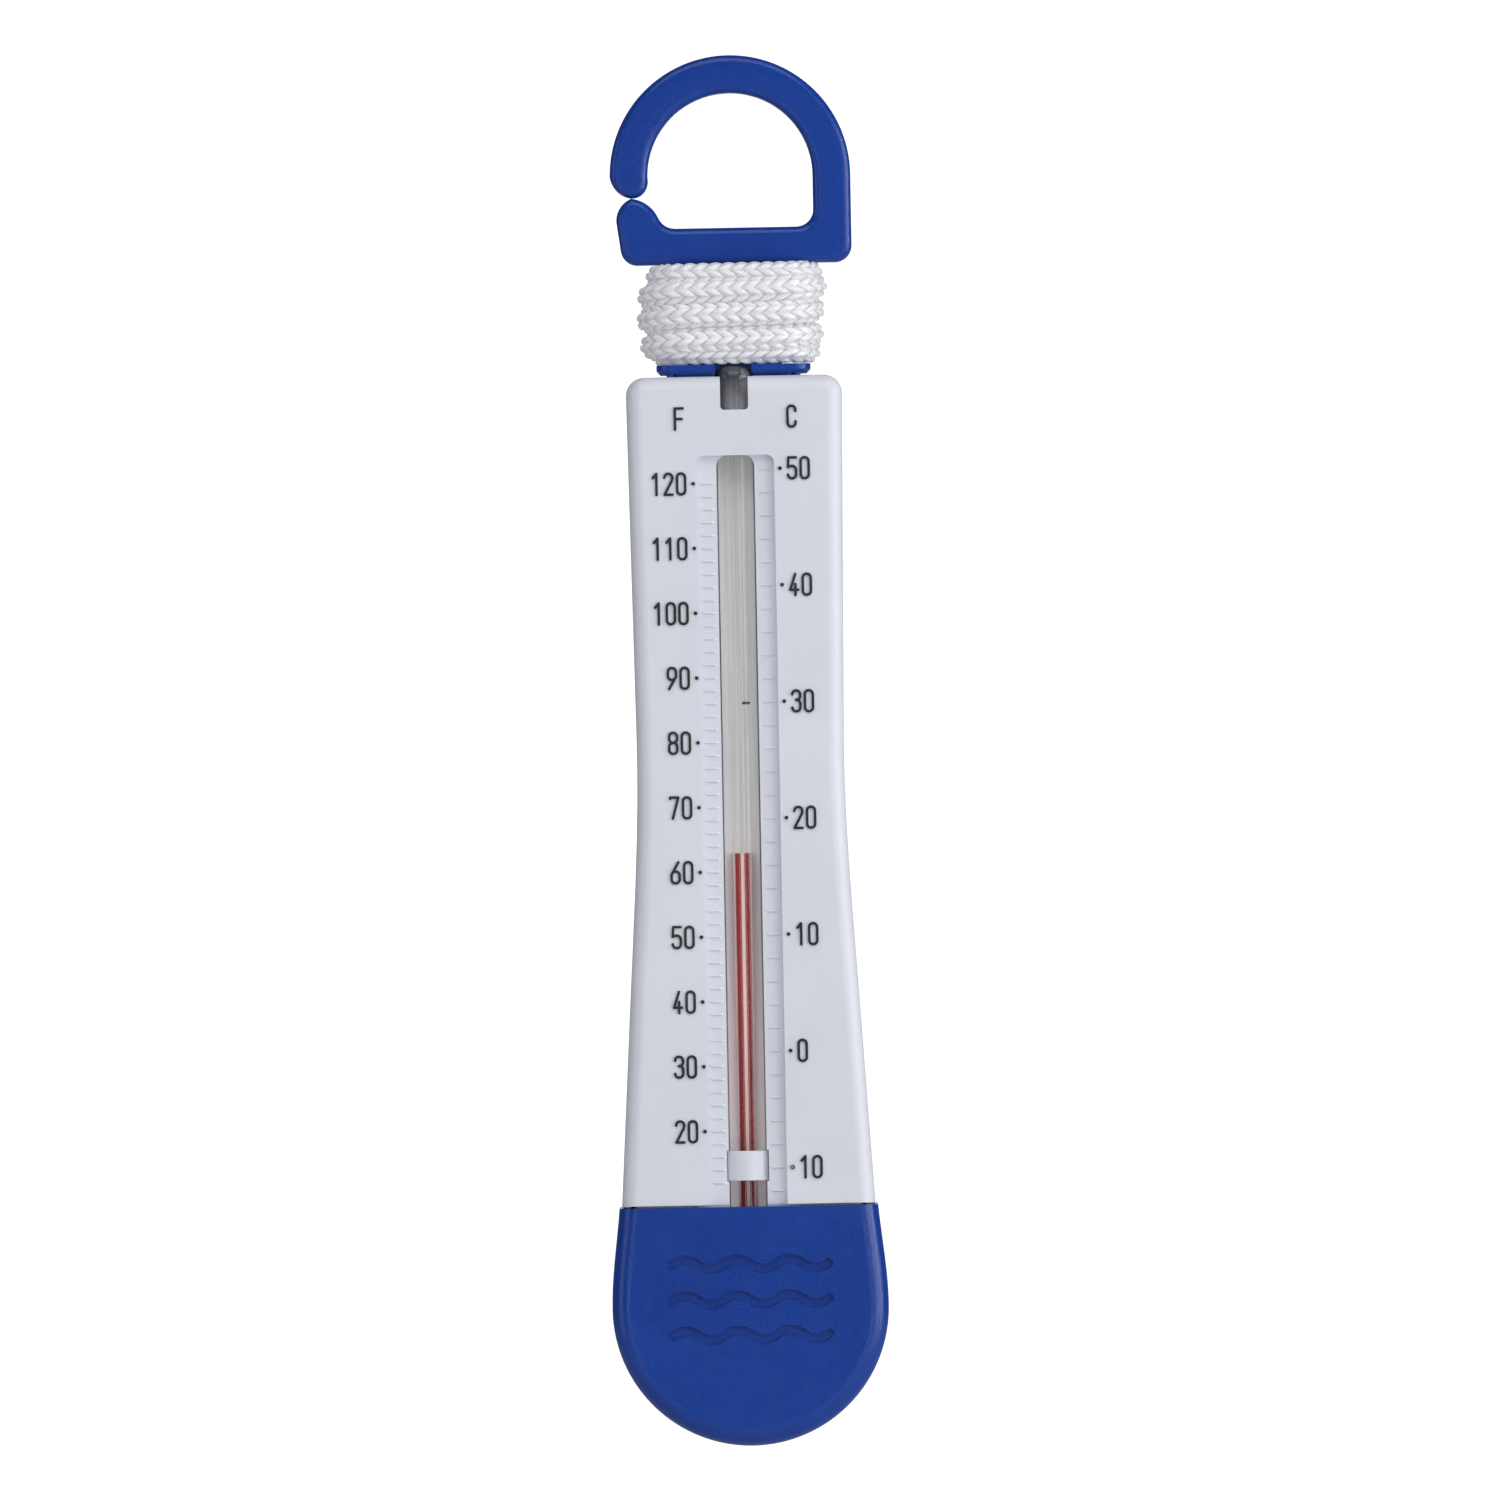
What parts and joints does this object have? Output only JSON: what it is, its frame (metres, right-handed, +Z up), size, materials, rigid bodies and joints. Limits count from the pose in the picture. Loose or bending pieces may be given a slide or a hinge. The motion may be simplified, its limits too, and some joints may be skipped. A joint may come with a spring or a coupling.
{
  "type": "floating pool thermometer",
  "caption": "Upright floating pool thermometer: glass spirit tube in a flared white scale case, weighted blue cap, and a pull-out blue snap clip with cord wound on its neck.",
  "frame": {"origin": "middle of the clip's eye, where the object hangs from a rail or line", "axes": "+Z up along the long axis, towards the top of the clip; -Y is the scale face and +Y the flat back; +X to the right of the scale face"},
  "size_m": [0.0328, 0.0163, 0.1651],
  "materials": {
    "white_plastic": "satin moulded white ABS",
    "blue_plastic": "satin moulded blue polypropylene",
    "steel": "zinc plated",
    "soft_rubber": "matte",
    "clear_glass": "polished",
    "red_spirit": "clear red liquid",
    "soft_foam": "closed-cell foam",
    "braided_cord": "white braided polypropylene",
    "black_ink": "matte printed ink on raised numerals"
  },
  "bodies": {
    "clip": {"clip_frame": "blue_plastic", "cord_winding": "braided_cord", "cord_tail": "braided_cord", "cord_knot": "braided_cord", "cord_end": "braided_cord"},
    "clip_bow": {"clip_arm": "blue_plastic"},
    "case": {"front_shell": "white_plastic", "rear_shell": "white_plastic", "base_cap": "blue_plastic", "ballast_plate": "steel", "ballast_washers": "steel", "bulb_cushion": "soft_rubber", "glass_stem": "clear_glass", "bulb_spirit": "red_spirit", "tube_strap": "white_plastic", "tube_pads": "soft_foam", "float_foam_left": "soft_foam", "float_foam_right": "soft_foam", "fahrenheit_print": "black_ink", "celsius_print": "black_ink"},
    "spirit": {"spirit_column": "red_spirit"}
  },
  "joints": [
    {"name": "clip_flex", "type": "hinge", "parent": "clip", "child": "clip_bow", "pos_m": [0.0072, 0, 0.01247], "axis": [0, 1, 0], "range_deg": [0, 12], "stiffness_Nm_per_rad": 0.5},
    {"name": "case_pull", "type": "slide", "parent": "clip", "child": "case", "axis": [0, 0, -1], "range_m": [0, 0.009]},
    {"name": "spirit_rise", "type": "slide", "parent": "case", "child": "spirit", "axis": [0, 0, 1], "range_m": [-0.0373, 0.0456], "deforming": ["spirit_column"]}
  ]
}
